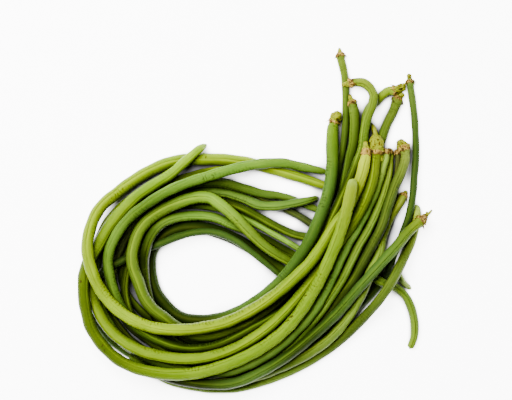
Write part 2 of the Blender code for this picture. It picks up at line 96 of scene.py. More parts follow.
# %% A socket that can be used in arithmetic
class Value:
    """The number that comes out of a socket."""

    def __init__(self, maker, socket):
        self.maker, self.socket = maker, socket

    def math(self, operation, *others):
        return self.maker.add("ShaderNodeMath", {"operation": operation}, [self, *others])

    def __add__(self, other):
        return self.math("ADD", other)

    def __radd__(self, other):
        return self.math("ADD", other)

    def __sub__(self, other):
        return self.math("SUBTRACT", other)

    def __rsub__(self, other):
        return self.maker.add("ShaderNodeMath", {"operation": "SUBTRACT"}, [other, self])

    def __mul__(self, other):
        return self.math("MULTIPLY", other)

    def __rmul__(self, other):
        return self.math("MULTIPLY", other)

    def __truediv__(self, other):
        return self.math("DIVIDE", other)

    def __pow__(self, other):
        return self.math("POWER", other)

    def __neg__(self):
        return self.math("MULTIPLY", -1.0)

    def __abs__(self):
        return self.math("ABSOLUTE")

    def sin(self):
        return self.math("SINE")

    def cos(self):
        return self.math("COSINE")

    def at_most(self, other):
        return self.math("MINIMUM", other)

    def at_least(self, other):
        return self.math("MAXIMUM", other)

    def bell(self, width):
        """1 where the value is 0, falling off to nothing at about twice the width."""
        return self.maker.number(math.e) ** -((self / width) ** 2.0)

    def ramp(self, low, high):
        """0 below low, 1 above high, and smooth between; low may be the larger one."""
        settings = {"interpolation_type": "SMOOTHSTEP"}
        flipped = isinstance(low, (int, float)) and low > high
        ends = (high, low) if flipped else (low, high)
        node = self.maker.add("ShaderNodeMapRange", settings, {"Value": self, 1: ends[0], 2: ends[1]})
        return 1.0 - node if flipped else node


class Maker:
    """Adds nodes to one tree."""

    def __init__(self, tree):
        self.tree = tree

    def add(self, kind, settings=None, sockets=None, out=0):
        """A node of any kind. Settings come first, then values or links by socket name or number."""
        node = self.tree.nodes.new(kind)
        for name, setting in (settings or {}).items():
            setattr(node, name, setting)
        pairs = sockets.items() if isinstance(sockets, dict) else enumerate(sockets or [])
        for name, given in pairs:
            socket = node.inputs[name]
            if isinstance(given, Value):
                self.tree.links.new(given.socket, socket)
            else:
                socket.default_value = given
        return Value(self, node.outputs[out])

    def number(self, value):
        """A plain number as the start of an expression."""
        return self.add("ShaderNodeMath", {"operation": "ADD"}, [value, 0.0])

    def vector(self, x, y, z):
        return self.add("ShaderNodeCombineXYZ", {}, [x, y, z])

    def vector_math(self, operation, *others, out=0):
        return self.add("ShaderNodeVectorMath", {"operation": operation}, list(others), out)

    def parts(self, vector):
        """The x, y and z of a vector."""
        first = self.add("ShaderNodeSeparateXYZ", {}, [vector])
        return [Value(self, socket) for socket in first.socket.node.outputs]

    def noise(self, place, scale, detail=2.0, roughness=0.5):
        """Soft noise from 0 to 1 in three dimensions."""
        sockets = {"Vector": place, "Scale": scale, "Detail": detail, "Roughness": roughness}
        return self.add("ShaderNodeTexNoise", {}, sockets)


print("arithmetic ready")

# %% [markdown]
# ## The line through each pod
#
# In the solid model a pod is a chain of eight-sided rings with a point at each end. Only the line
# through the rings and their radii are wanted, so that a finer skin can be swept along the same way.
# The rings are found by walking out from the stem end: the neighbours of the point are the first ring,
# their new neighbours the next, and so on. The mesh comes as loose triangles, so corners in the same
# place are counted as one first.

# %% Walk the rings of a solid pod
SAME_PLACE = 5      # decimal places of a metre
RING_SIDES = 8


def neighbours(mesh):
    """The merged corners of a mesh, and for each the set of those it shares an edge with."""
    corners = np.empty(len(mesh.vertices) * 3)
    mesh.vertices.foreach_get("co", corners)
    rounded = np.round(corners.reshape(-1, 3), SAME_PLACE)
    places, merged = np.unique(rounded, axis=0, return_inverse=True)
    merged = merged.reshape(-1)
    near = [set() for _ in places]
    mesh.calc_loop_triangles()
    for triangle in mesh.loop_triangles:
        a, b, c = (int(merged[corner]) for corner in triangle.vertices)
        near[a] |= {b, c}
        near[b] |= {a, c}
        near[c] |= {a, b}
    return places, near


def ring_line(name):
    """Ring centres and radii of a pod, from its stem end to its tip."""
    places, near = neighbours(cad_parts[name].data)
    points = [index for index, others in enumerate(near) if len(others) == RING_SIDES]
    stem_point = max(points, key=lambda index: places[index][0] + places[index][1])
    seen, ring, centres, radii = {stem_point}, {stem_point}, [], []
    while ring:
        spots = places[sorted(ring)]
        centres.append(spots.mean(axis=0))
        radii.append(np.linalg.norm(spots - centres[-1], axis=1).mean())
        ring = {other for index in ring for other in near[index]} - seen
        seen |= ring
    return np.array(centres), np.array(radii)


lines = {name: ring_line(name) for name in POD_NAMES}
print("rings:", {name: len(radii) for name, (_, radii) in lines.items()})

# %% [markdown]
# ## How each pod begins
#
# The stem ends differ. Most keep a cut stub, a swollen knob where the flower's cup sat, and a ragged dry
# collar below it. Some have torn off at the dry ring, and two have snapped through the flesh, which
# leaves a plain rounded end. The distances say where these lie, so that shape and colour agree.

# %% Stem ends
# In mm from the stem end: where the knob begins and ends, where the dry collar begins and ends; then
# how high the knob's lumps are, the share of the collar's points that carry a flake, how much wider
# than the solid the stub is, and how blotched the knob is
SNAPPED_END = (-20.0, -19.0, -19.0, -18.0, 0.0, 0.0, 0.0, 0.0)
ENDS = {
    "pod_01": (2.6, 6.0, 6.0, 11.6, 0.8, 0.05, 0.4, 0.5),
    "pod_02": SNAPPED_END,
    "pod_03": (0.4, 8.2, 7.4, 10.2, 1.3, 0.07, 0.0, 0.8),
    "pod_04": (2.6, 4.4, 3.6, 7.0, 0.6, 0.14, 0.0, 0.9),
    "pod_05": (2.0, 4.6, 4.4, 6.4, 0.8, 0.12, 0.0, 1.0),
    "pod_06": (1.8, 4.6, 4.6, 7.0, 0.7, 0.12, 0.2, 1.0),
    "pod_07": (0.4, 8.4, 8.0, 10.2, 1.3, 0.09, 0.0, 0.9),
    "pod_08": (0.2, 2.6, 4.0, 6.6, 0.5, 0.14, 0.0, 1.2),
    "pod_09": (1.0, 3.0, 4.2, 7.4, 0.6, 0.14, 0.0, 0.9),
    "pod_10": (10.5, 24.6, 24.2, 26.6, 1.5, 0.04, 0.0, 0.9),
    "pod_11": (0.0, 0.4, 0.2, 3.8, 0.6, 0.20, 0.0, 1.3),
    "pod_12": (0.0, 0.4, 0.2, 3.4, 0.6, 0.20, 0.0, 1.5),
    "pod_13": (0.0, 0.4, 0.2, 3.8, 0.6, 0.20, 0.0, 1.5),
    "pod_14": (0.4, 7.8, 7.4, 10.2, 1.3, 0.09, 0.0, 1.2),
    "pod_15": (1.0, 2.6, 2.0, 5.0, 0.6, 0.10, 0.3, 1.2),
    "pod_16": (5.8, 11.4, 11.0, 17.0, 1.0, 0.14, 0.2, 1.2),
    "pod_17": SNAPPED_END,
}
SNAPPED_PODS = [name for name in POD_NAMES if ENDS[name] == SNAPPED_END]
# Where a stem end is fuller or slimmer than the solid's few rings say: distance and radius in mm
STEMS = {
    "pod_04": [(0, 0.4), (0.6, 0.9), (2, 1.4), (5, 2.3), (6.5, 3.1), (9, 2.9), (14, 2.78)],
    "pod_05": [(0, 0.6), (0.6, 1.3), (3, 1.5), (5, 2.6), (8, 3.2), (12, 3.5), (22, 3.85)],
    "pod_06": [(0, 0.5), (0.6, 1.2), (3, 1.4), (5, 2.2), (7, 2.9), (10, 3.2), (15, 3.5), (23, 3.5)],
    "pod_07": [(0, 0.8), (0.8, 1.8), (3, 2.6), (6, 2.8), (8, 3.0), (9.5, 3.4), (13.6, 3.13)],
    "pod_08": [(0, 1.2), (0.3, 1.6), (2.5, 1.7), (4.5, 2.4), (6.5, 2.9), (9.3, 2.6), (14, 2.59)],
    "pod_09": [(0, 0.8), (0.8, 1.9), (3, 2.1), (5.5, 3.0), (7.5, 4.1), (9.7, 3.9), (14, 3.65)],
    "pod_10": [(0, 0.3), (1.5, 0.9), (5, 1.7), (9, 2.0), (12, 2.3), (14.5, 3.6), (17, 4.6), (22, 5.0),
               (25, 4.5), (28.4, 3.8)],
    "pod_15": [(0, 1.0), (1, 1.4), (2.5, 1.8), (4, 2.6), (6, 3.4), (8, 3.8), (11, 4.1), (18, 4.1),
               (28, 3.85)],
    "pod_16": [(0, 0.5), (4, 0.8), (5.6, 0.9), (6.6, 1.5), (8.5, 2.0), (10.5, 2.2), (12.5, 2.9), (15, 3.5),
               (18, 3.6), (24, 3.7)],
}
print("snapped through the flesh:", SNAPPED_PODS)

# %% [markdown]
# ## A fine, smooth line
#
# The rings are up to 15 mm apart, which would show as corners in the skin. A curve through them with
# a smooth change of direction (a Hermite curve) gives points as close as the detail needs: close
# together at the knobby stem end and at the tip, and a little wider along the body, where the finest
# things are wrinkles about 2 mm apart.

# %% Smooth the lines
STEM_STEP = 0.32 * MM
BODY_STEP = 0.62 * MM
TIP_LENGTH = 5 * MM
SHORTEST_STEM = 2.0     # mm, and every stem end has this much more beyond its collar:
PAST_COLLAR = 3.0
BEND_POINTS = 25        # points over which the inward bend is averaged
ON_TABLE = 0.9          # lowest height of a redrawn stem end's middle, in radii


def hermite(values, knots, at):
    """Values at new places along a smooth curve through the given ones."""
    slopes = np.gradient(values, knots, axis=0)
    span = np.clip(np.searchsorted(knots, at, side="right") - 1, 0, len(knots) - 2)
    width = (knots[span + 1] - knots[span])[:, None]
    share = (at - knots[span])[:, None] / width
    rest = 1 - share
    return (
        values[span] * (1 + 2 * share) * rest**2
        + slopes[span] * width * share * rest**2
        + values[span + 1] * (3 - 2 * share) * share**2
        - slopes[span + 1] * width * share**2 * rest
    )


def stations(total, stem_length):
    """Distances from the stem end at which the fine line has a point."""
    stem = np.arange(0.0, stem_length, STEM_STEP)
    body = np.arange(stem_length, total - TIP_LENGTH, BODY_STEP)
    tip = np.linspace(total - TIP_LENGTH, total, int(TIP_LENGTH / STEM_STEP))
    return np.concatenate([stem, body, tip])


def fine_line(name):
    """Points, radii, distances, directions and inward bends of the smooth line of one pod."""
    centres, radii = lines[name]
    steps = np.linalg.norm(np.diff(centres, axis=0), axis=1)
    knots = np.concatenate([[0.0], np.cumsum(steps)])
    at = stations(knots[-1], (max(ENDS[name][3], SHORTEST_STEM) + PAST_COLLAR) * MM)
    points = hermite(centres, knots, at)
    ahead = np.gradient(points, at, axis=0)
    inward = np.gradient(ahead, at, axis=0)
    smoothing = np.ones(BEND_POINTS) / BEND_POINTS
    inward = np.array([np.convolve(row, smoothing, mode="same") for row in inward.T]).T
    sizes = np.interp(at, knots, radii)
    if name in STEMS:
        places, given = np.array(STEMS[name]).T * MM
        sizes = np.where(at < places[-1], np.interp(at, places, given), sizes)
        points[:, 2] = np.maximum(points[:, 2], sizes * ON_TABLE)
    return points, sizes, at, ahead, inward


fine = {name: fine_line(name) for name in POD_NAMES}
longest = max(fine, key=lambda name: fine[name][2][-1])
print("the longest pod is", longest, "at", round(fine[longest][2][-1] / MM), "mm")

# %% [markdown]
# ## A bare line for the modifier to work on
#
# Geometry Nodes sweep the skin, so each pod starts as an object that holds only its line: points
# joined by edges. What the sweep must know at each point travels along as named attributes: the
# radius, the distance from the stem end, the distance to the tip, the way ahead, the inward bend and
# the line itself. Two pods keep a forked twig, whose second prong is a short line of its own.

# %% Store the lines
# For each pod with a prong, in mm: where it starts from the stem end, where it ends on the table and
# how far it rises, and its radii
PRONGS = {
    "pod_16": (5.6, (120.1, 5.9), 1.0, (1.0, 0.7)),
    "pod_10": (20.5, (87.4, 41.4), 1.0, (1.9, 0.9)),
}
PRONG_POINTS = 16


def store(mesh, name, kind, values):
    """A named attribute on the mesh's points."""
    attribute = mesh.attributes.new(name, kind, "POINT")
    field = "vector" if kind == "FLOAT_VECTOR" else "value"
    attribute.data.foreach_set(field, np.asarray(values, np.float32).ravel())


def prong_line(name):
    """The same values as fine_line gives, for a pod's prong."""
    points, radii, at, _, _ = fine[name]
    start, (end_x, end_y), rise, (thick, thin) = PRONGS[name]
    root = points[np.searchsorted(at, start * MM)]
    share = np.linspace(0.0, 1.0, PRONG_POINTS)[:, None]
    way = np.array((end_x * MM - root[0], end_y * MM - root[1], rise * MM))
    rows = np.ones((PRONG_POINTS, 1))
    radius = np.interp(share[:, 0], (0.0, 1.0), (thick, thin)) * MM
    return root + way * share, radius, start * MM * rows[:, 0], way * rows, 0.0 * way * rows


def line_object(name):
    """The pod's fine line, and its prong's if it has one, as a mesh of edges."""
    points, radii, at, ahead, inward = fine[name]
    joined = [(i, i + 1) for i in range(len(points) - 1)]
    to_tip = at[-1] - at
    if name in PRONGS:
        first = len(points)
        prong = prong_line(name)
        points, radii, at, ahead, inward = (
            np.concatenate([own, added]) for own, added in zip(fine[name], prong)
        )
        joined += [(i, i + 1) for i in range(first, len(points) - 1)]
        to_tip = np.concatenate([to_tip, np.ones(len(points) - first)])
    mesh = bpy.data.meshes.new(name + "_skin")
    mesh.from_pydata(points.tolist(), joined, [])
    store(mesh, "line", "FLOAT_VECTOR", points)
    store(mesh, "thick", "FLOAT", radii)
    store(mesh, "along", "FLOAT", at)
    store(mesh, "to_tip", "FLOAT", to_tip)
    store(mesh, "ahead", "FLOAT_VECTOR", ahead)
    store(mesh, "inward", "FLOAT_VECTOR", inward)
    pod = bpy.data.objects.new(name + "_skin", mesh)
    bpy.context.scene.collection.objects.link(pod)
    return pod


skins = {name: line_object(name) for name in POD_NAMES}
print(sum(len(pod.data.vertices) for pod in skins.values()), "points on all the lines")

# %% [markdown]
# ## The shape of a pod's skin
#
# A yardlong pod isn't a smooth tube. Two sutures run its whole length, each a thin groove between low
# lips. Seeds raise faint swellings about 15 mm apart. Where the pod is bent, the skin on the inner
# side is pushed together into fine cross wrinkles. The stem end is a lumpy knob with a ragged dry
# collar, and the tip narrows to a small beak. All of this follows the line, so it is written as one
# sum of heights above the plain tube, in millimetres, inside one tree that every pod shares. The sizes
# are named inputs, which differ a little from pod to pod as they do in a real bunch.
#
# The swept round has its points crowded at the two sutures, where the finest shape is. Tilting the
# line turns the sutures round the pod. Each point keeps its direction across the pod as a vector, which
# has no seam, unlike an angle.
#
# Deep in the heap a pod gets little light and looks much darker than one on top. A fan of rays upwards
# from each point counts how much of the sky the other pods hide, and the skin keeps that as `open`.
# The skin's colour is darkened by it, as painted shade on top of the renderer's own shadows.

# %% The pod skin tree
SIDES = 32
CROWDING = 0.72             # how much closer the points stand at the sutures
SEED_SPACING = 15.5         # millimetres, as the next one
FOLD_SPACING = 2.5
SKY_RAYS = 20
SKY_REACH = 45 * MM
SKY_LIFT = 0.9 * MM         # how far above the skin the rays start, clear of its own solid
GOLDEN_ANGLE = 2.39996      # turns each ray from the last, so that they spread evenly
INPUTS = {
    "Suture turn": 0.0,         # how far the sutures are turned round the pod, in turns
    "Twist": 0.1,               # turns that the sutures make in a metre
    "Twist back": 0.0,          # how much that grows or turns back, in turns in a square metre
    "Groove depth": 0.16,       # millimetres, as all heights below
    "Lip height": 0.13,
    "Second suture": 0.5,       # share of the first one's depth
    "Seed swell": 0.12,
    "Wrinkle depth": 0.16,
    "Unevenness": 0.22,
    "Flatness": 0.04,           # share by which the pod is wider than it is thick
    "Knob from": 3.4,           # millimetres from the stem end, as the next three
    "Knob to": 9.4,
    "Collar from": 9.0,
    "Collar to": 11.4,
    "Knob lumps": 0.9,
    "Flake share": 0.1,
    "Stub swell": 0.4,
    "Seed": 0.0,
}


class ShapeMaker(Maker):
    """Adds geometry nodes, which read attributes by name."""

    def read(self, name, kind="FLOAT"):
        return self.add("GeometryNodeInputNamedAttribute", {"data_type": kind}, {"Name": name})

    def keep(self, geometry, name, value, kind="FLOAT"):
        """Stores a value on the points under a name."""
        settings = {"data_type": kind, "domain": "POINT"}
        sockets = {"Geometry": geometry, "Name": name, "Value": value}
        return self.add("GeometryNodeStoreNamedAttribute", settings, sockets)

    def join(self, *geometries):
        node = self.tree.nodes.new("GeometryNodeJoinGeometry")
        for geometry in geometries:
            self.tree.links.new(geometry.socket, node.inputs[0])
        return Value(self, node.outputs[0])


def collar_mask(maker, along, edge_place, start, end):
    """1 on the dry collar, whose lower edge is torn, and 0 elsewhere."""
    torn = (maker.noise(edge_place, 0.9, 2.0) - 0.5) * 4.2
    return (along - start).ramp(-0.3, 0.5) * (along - end - torn).ramp(0.25, -0.25)


def skin_height(maker, given, squeezed):
    """Height of the skin above the plain tube at each point, in millimetres."""
    along = maker.read("along") * IN_MM
    to_tip = maker.read("to_tip") * IN_MM
    size = maker.read("thick") * IN_MM
    side, up, _ = maker.parts(maker.read("across", "FLOAT_VECTOR"))
    across = (side * size, up * size)
    seed = given["Seed"]
    body = (along - given["Collar to"]).ramp(-0.5, 5.0) * to_tip.ramp(1.0, 8.0)

    first = side.ramp(-0.2, 0.2)
    share = (first + (1.0 - first) * given["Second suture"]) * body
    distance = abs(across[1])
    groove = distance.bell(0.30) * given["Groove depth"]
    lips = (distance - 0.95).bell(0.50) * given["Lip height"]
    height = (lips - groove) * share

    seed_step = (along * (2 * math.pi / SEED_SPACING) + 1.3 * (along * 0.021 + seed).sin()).cos()
    height = height + seed_step * given["Seed swell"] * body
    height = height + (side * side - up * up) * given["Flatness"] * size * body

    wander = maker.noise(maker.vector(across[0], across[1], along), 0.35, 3.0) * 7.0
    folds = abs((along * (math.pi / FOLD_SPACING) + wander + seed).sin())
    height = height - (1.0 - folds) ** 2.0 * given["Wrinkle depth"] * squeezed * body

    slow_place = maker.vector(across[0] + seed * 31.0, across[1], along * 0.1)
    height = height + (maker.noise(slow_place, 0.16, 2.0) - 0.5) * given["Unevenness"] * 2.0 * body
    fibres = maker.noise(maker.vector(across[0] * 3.0, across[1] * 3.0, along * 0.2), 1.0, 2.0) - 0.5
    height = height + fibres * 0.12 * body

    lump_place = maker.vector(across[0] + seed * 17.0, across[1], along)
    lumps = maker.noise(lump_place, 0.36, 2.0, 0.6) - 0.46
    at_knob = (along - given["Knob from"]).ramp(-1.0, 1.5) * (along - given["Knob to"]).ramp(1.5, -0.5)
    height = height + lumps * given["Knob lumps"] * 3.4 * at_knob
    edge_place = maker.vector(across[0] + seed * 9.0, across[1], 0.0)
    collar = collar_mask(maker, along, edge_place, given["Collar from"], given["Collar to"])
    height = height + collar * (maker.noise(lump_place, 0.8, 2.0) * 1.1)
    height = height + given["Stub swell"] * (along - given["Collar from"]).ramp(0.5, -0.5)
    torn = maker.noise(lump_place, 1.3, 2.0) - 0.5
    return height + torn * 0.6 * (along - given["Knob from"]).ramp(0.5, -0.5)


def flakes(maker, given, skin):
    """Torn dry flakes that stand off the collar, each a thin pointed scale."""
    along = maker.read("along") * IN_MM
    zone = (along - given["Collar from"]).ramp(-0.4, 0.4) * (along - given["Collar to"]).ramp(0.3, -0.7)
    chance = maker.add("FunctionNodeRandomValue", {"data_type": "FLOAT"}, {2: 0.0, 3: 1.0, 8: 5}, 1)
    chosen = (zone * given["Flake share"]).math("GREATER_THAN", chance)
    outward = maker.read("outward", "FLOAT_VECTOR")
    ahead = maker.read("ahead", "FLOAT_VECTOR")
    low, high = (-0.55, -0.55, -0.55), (0.55, 0.55, 0.55)
    stray = maker.add("FunctionNodeRandomValue", {"data_type": "FLOAT_VECTOR"}, {0: low, 1: high, 8: 9})
    heading = maker.vector_math("ADD", maker.vector_math("ADD", ahead, stray),
                                maker.vector_math("MULTIPLY", outward, (0.5, 0.5, 0.5)))
    turned = maker.add("FunctionNodeAlignRotationToVector", {"axis": "Z"}, {"Vector": heading})
    turned = maker.add("FunctionNodeAlignRotationToVector", {"axis": "Y", "pivot_axis": "Z"},
                       {"Rotation": turned, "Vector": outward})
    length = maker.add("FunctionNodeRandomValue", {"data_type": "FLOAT"}, {2: 1.1, 3: 3.0, 8: 2}, 1)
    scale = maker.vector(1.9, 0.5, length)
    flake = maker.add("GeometryNodeMeshCone", {}, {"Vertices": 6, "Radius Top": 0.05 * MM,
                                                   "Radius Bottom": 0.36 * MM, "Depth": MM})
    placed = maker.add("GeometryNodeInstanceOnPoints", {}, {
        "Points": skin, "Selection": chosen, "Instance": flake, "Rotation": turned, "Scale": scale})
    return maker.keep(maker.add("GeometryNodeRealizeInstances", {}, [placed]), "dry", 1.0)


def open_sky(maker, heap, outward):
    """Share of the light from above that reaches each point past the other pods."""
    lifted = maker.vector_math("MULTIPLY", outward, (SKY_LIFT, SKY_LIFT, SKY_LIFT))
    start = maker.vector_math("ADD", maker.add("GeometryNodeInputPosition"), lifted)
    blocked, total = maker.number(0.04), maker.number(0.04)
    for number in range(SKY_RAYS):
        rise = (number + 0.5) / SKY_RAYS
        level, turn = math.sqrt(1 - rise**2), number * GOLDEN_ANGLE
        way = (level * math.cos(turn), level * math.sin(turn), rise)
        weight = maker.vector_math("DOT_PRODUCT", outward, way, out=1).at_least(0.0)
        hit = maker.add("GeometryNodeRaycast", {}, {
            "Target Geometry": heap, "Source Position": start, "Ray Direction": way,
            "Ray Length": SKY_REACH})
        blocked, total = blocked + weight * hit, total + weight
    clear = 1.0 - blocked / total
    return maker.add("GeometryNodeBlurAttribute", {"data_type": "FLOAT"}, {0: clear, "Iterations": 3})


def pod_tree():
    """Sweeps a round profile along the pod's line and lifts its points by the skin height."""
    tree = bpy.data.node_groups.new("pod_skin", "GeometryNodeTree")
    tree.interface.new_socket("Geometry", in_out="INPUT", socket_type="NodeSocketGeometry")
    for name, value in INPUTS.items():
        socket = tree.interface.new_socket(name, in_out="INPUT", socket_type="NodeSocketFloat")
        socket.default_value = value
    tree.interface.new_socket("Heap", in_out="INPUT", socket_type="NodeSocketObject")
    tree.interface.new_socket("Skin", in_out="INPUT", socket_type="NodeSocketMaterial")
    tree.interface.new_socket("Geometry", in_out="OUTPUT", socket_type="NodeSocketGeometry")
    maker = ShapeMaker(tree)
    entry = tree.nodes.new("NodeGroupInput")
    given = {socket.name: Value(maker, socket) for socket in entry.outputs if socket.name}

    curve = maker.add("GeometryNodeMeshToCurve", {}, {"Mesh": given["Geometry"]})
    curve = maker.add("GeometryNodeSetCurveNormal", {"mode": "Z_UP"}, {"Curve": curve})
    along = maker.read("along")
    turn = given["Suture turn"] + given["Twist"] * along + given["Twist back"] * along * along
    turn = turn + 0.03 * (along * 35.0 + given["Seed"]).sin()
    tilt = turn * (2 * math.pi)
    curve = maker.add("GeometryNodeSetCurveTilt", {}, {"Curve": curve, "Tilt": tilt})
    profile = maker.add("GeometryNodeCurvePrimitiveCircle", {}, {"Resolution": SIDES, "Radius": MM})
    share = maker.add("GeometryNodeSplineParameter")
    angle = (share - CROWDING / (4 * math.pi) * (share * (4 * math.pi)).sin()) * (2 * math.pi)
    across = maker.vector(angle.cos(), angle.sin(), 0.0)
    profile = maker.keep(profile, "across", across, "FLOAT_VECTOR")
    rim = maker.vector_math("MULTIPLY", maker.read("across", "FLOAT_VECTOR"), (MM, MM, MM))
    profile = maker.add("GeometryNodeSetPosition", {}, {"Geometry": profile, "Position": rim})
    swept = maker.add(
        "GeometryNodeCurveToMesh", {}, {"Curve": curve, "Profile Curve": profile, "Fill Caps": True}
    )
    line = maker.read("line", "FLOAT_VECTOR")
    here = maker.add("GeometryNodeInputPosition")
    outward = maker.vector_math("NORMALIZE", maker.vector_math("SUBTRACT", here, line))
    swept = maker.keep(swept, "outward", outward, "FLOAT_VECTOR")
    bend = maker.vector_math("DOT_PRODUCT", maker.read("inward", "FLOAT_VECTOR"),
                             maker.read("outward", "FLOAT_VECTOR"), out=1)
    sharpness = maker.vector_math("LENGTH", maker.read("inward", "FLOAT_VECTOR"), out=1)
    inner_side = (bend / sharpness.at_least(0.01)).ramp(0.45, 0.95)
    tight = (sharpness * maker.read("thick")).ramp(0.006, 0.030)
    swept = maker.keep(swept, "squeeze", inner_side * tight)
    reach = maker.read("thick") + skin_height(maker, given, maker.read("squeeze")) * MM
    reach = reach.at_least(0.2 * MM)
    move = maker.add("ShaderNodeVectorMath", {"operation": "SCALE"},
                     {"Vector": maker.read("outward", "FLOAT_VECTOR"), "Scale": reach})
    place = maker.vector_math("ADD", line, move)
    shaped = maker.add("GeometryNodeSetPosition", {}, {"Geometry": swept, "Position": place})
    heap = maker.add("GeometryNodeObjectInfo", {}, {"Object": given["Heap"]}, "Geometry")
    outward = maker.read("outward", "FLOAT_VECTOR")
    shaped = maker.keep(shaped, "open", open_sky(maker, heap, outward))
    shaped = maker.keep(shaped, "dry", 0.0)
    shaped = maker.add("GeometryNodeSetShadeSmooth", {}, {"Geometry": shaped})
    shaped = maker.join(shaped, flakes(maker, given, shaped))
    for spent in ("line", "outward", "inward", "ahead"):
        shaped = maker.add("GeometryNodeRemoveAttribute", {}, {"Geometry": shaped, "Name": spent})
    shaped = maker.add("GeometryNodeRealizeInstances", {}, {"Geometry": shaped})
    shaped = maker.add("GeometryNodeSetMaterial", {},
                       {"Geometry": shaped, "Material": given["Skin"]})
    leave = tree.nodes.new("NodeGroupOutput")
    tree.links.new(shaped.socket, leave.inputs["Geometry"])
    return tree


skin_tree = pod_tree()
print(len(skin_tree.nodes), "nodes in the pod skin tree")

# %% [markdown]
# ## What the skin looks like
#
# A bean's green isn't even. It shifts slowly along the pod, is paler where the skin is stretched, and
# is drawn out in fibres along its length. The sutures are a fine darker line between paler lips. Where
# a pod is squeezed in a bend, the troughs of its cross wrinkles are darkened with painted shade. The
# knob is yellow-green with brown blotches, the collar is dry and tan, and a snapped end is plain. The
# patterns need to follow the pod round its bends, so they read the same `along` and `across`
# attributes that the shape used, which the mesh keeps.
#
# Each pod is also lighter in some places along its way and darker in others, as a few tones a pod say.
# These are partly its own green and partly painted light and shade: darker where it lies deep in the
# heap, lighter where it lies open on top.
# Some carry single scars and dark dots. Each is an ellipse at its own place, with its edge broken up
# by noise.

# %% Colours of the skins
KNOB_GREEN = (0.150, 0.165, 0.003)
KNOB_SHADE = (0.060, 0.085, 0.003)
KNOB_BROWN = (0.045, 0.022, 0.002)
STUB_GREEN = (0.160, 0.175, 0.008)
COLLAR_TAN = (0.260, 0.165, 0.030)
COLLAR_BROWN = (0.034, 0.013, 0.004)
SCAR_BROWN = (0.016, 0.011, 0.003)
SNAPPED = (0.130, 0.190, 0.020)
# painted shade: where the other pods hide all of the sky, the skin's green is darkened to this share
DARKEST_PAINTED_SHADE = 0.10      # tone of a pod where no sky reaches it

# Scars and dots, in mm: place on the table, length, width, and the way it runs in degrees from +X
SCARS = {
    "pod_01": [(-35.1, 44.4, 2.4, 0.8, 80)],
    "pod_02": [(34.4, -52.2, 3.0, 1.0, 10), (24.6, -66.9, 3.6, 1.6, 200), (21.6, -69.9, 4.0, 1.0, 20),
               (-121.7, -42.4, 2.2, 1.4, 90), (-35.0, 51.2, 2.6, 1.3, -50), (-107.0, -87.2, 2.6, 0.9, 60),
               (-105.6, -90.7, 2.0, 0.9, 60)],
    "pod_03": [(58.0, 69.9, 5.0, 2.2, -50), (58.5, 65.4, 5.0, 1.6, 90)],
    "pod_04": [(56.4, 112.0, 1.8, 1.2, -45)],
    "pod_05": [(67.8, 82.6, 3.8, 1.0, -20)],
    "pod_06": [(67.4, 92.4, 2.0, 1.2, 0)],
    "pod_07": [(101.9, 92.2, 3.8, 1.8, 15), (98.6, 89.6, 3.4, 1.2, 30), (105.2, 95.3, 1.6, 1.0, 60)],
    "pod_08": [(105.2, 98.2, 1.8, 1.2, -60), (110.8, 97.3, 1.8, 1.2, 60)],
    "pod_09": [(96.6, 83.6, 2.2, 1.4, -60), (103.8, 84.6, 2.0, 1.3, 60)],
    "pod_10": [(82.0, 68.4, 1.6, 1.2, 90), (82.0, 61.4, 6.0, 1.0, 100), (85.5, 56.3, 2.2, 1.3, 20),
               (81.0, 49.0, 3.0, 1.4, 110)],
    "pod_11": [(53.0, -36.0, 5.0, 1.6, 55)],
    "pod_14": [(103.0, 50.0, 2.6, 2.0, 40)],
}

# How a pod's green lightens and darkens along its way, partly its own tone and partly painted light and
# shade from where it lies in the heap: mm from the stem end, and the share there
TONES_LIGHT_AND_SHADE = {
    "pod_01": [(0, 1.5), (40, 0.85), (180, 0.8), (240, 1.1), (300, 0.7), (400, 1.0)],
    "pod_02": [(0, 1.0), (180, 1.0), (250, 0.35), (300, 0.35), (360, 0.9), (420, 1.5)],
    "pod_03": [(0, 2.0), (50, 1.2), (100, 0.8), (160, 1.2), (200, 0.2)],
    "pod_04": [(0, 1.2), (60, 0.65), (260, 0.35), (400, 0.5), (445, 3.5)],
    "pod_05": [(0, 1.0), (50, 0.4), (240, 0.1), (340, 1.1), (370, 0.7), (440, 1.5), (500, 1.2)],
    "pod_06": [(0, 1.0), (60, 0.8), (90, 0.2), (260, 0.5), (370, 0.8), (410, 1.9), (450, 0.9)],
    "pod_07": [(0, 1.8), (60, 1.0), (420, 0.4), (450, 0.2), (530, 1.35)],
    "pod_08": [(0, 1.7), (60, 0.7), (400, 1.2), (450, 0.6), (560, 0.9)],
    "pod_09": [(0, 0.9), (310, 0.1), (340, 0.1), (410, 2.8), (445, 0.2)],
    "pod_10": [(0, 0.8), (60, 0.55), (120, 1.0), (320, 1.0), (400, 0.4)],
    "pod_11": [(0, 2.5), (100, 2.8), (150, 1.3), (180, 0.8), (440, 1.3)],
    "pod_12": [(0, 2.8), (80, 1.5), (160, 2.6), (260, 0.4), (410, 0.1), (450, 0.5), (520, 1.9), (560, 1.0)],
    "pod_13": [(0, 1.0), (540, 1.0), (556, 8.0)],
    "pod_14": [(0, 2.4), (45, 0.95), (100, 0.6), (260, 0.5)],
    "pod_15": [(0, 1.8), (40, 2.8), (160, 0.75)],
    "pod_16": [(0, 2.4), (40, 1.5), (90, 1.0), (140, 0.3), (180, 1.0), (220, 0.1)],
    "pod_17": [(0, 4.0), (40, 0.9), (110, 0.55), (170, 1.5)],
}


# What ripening multiplies the green by near the stem end, and the pods that differ from the rest
RIPENING = (1.22, 1.0, 0.8)
RIPENED = {"pod_03": (1.22, 1.0, 0.2), "pod_07": (1.22, 1.0, 0.2), "pod_16": (1.40, 1.0, 0.2)}


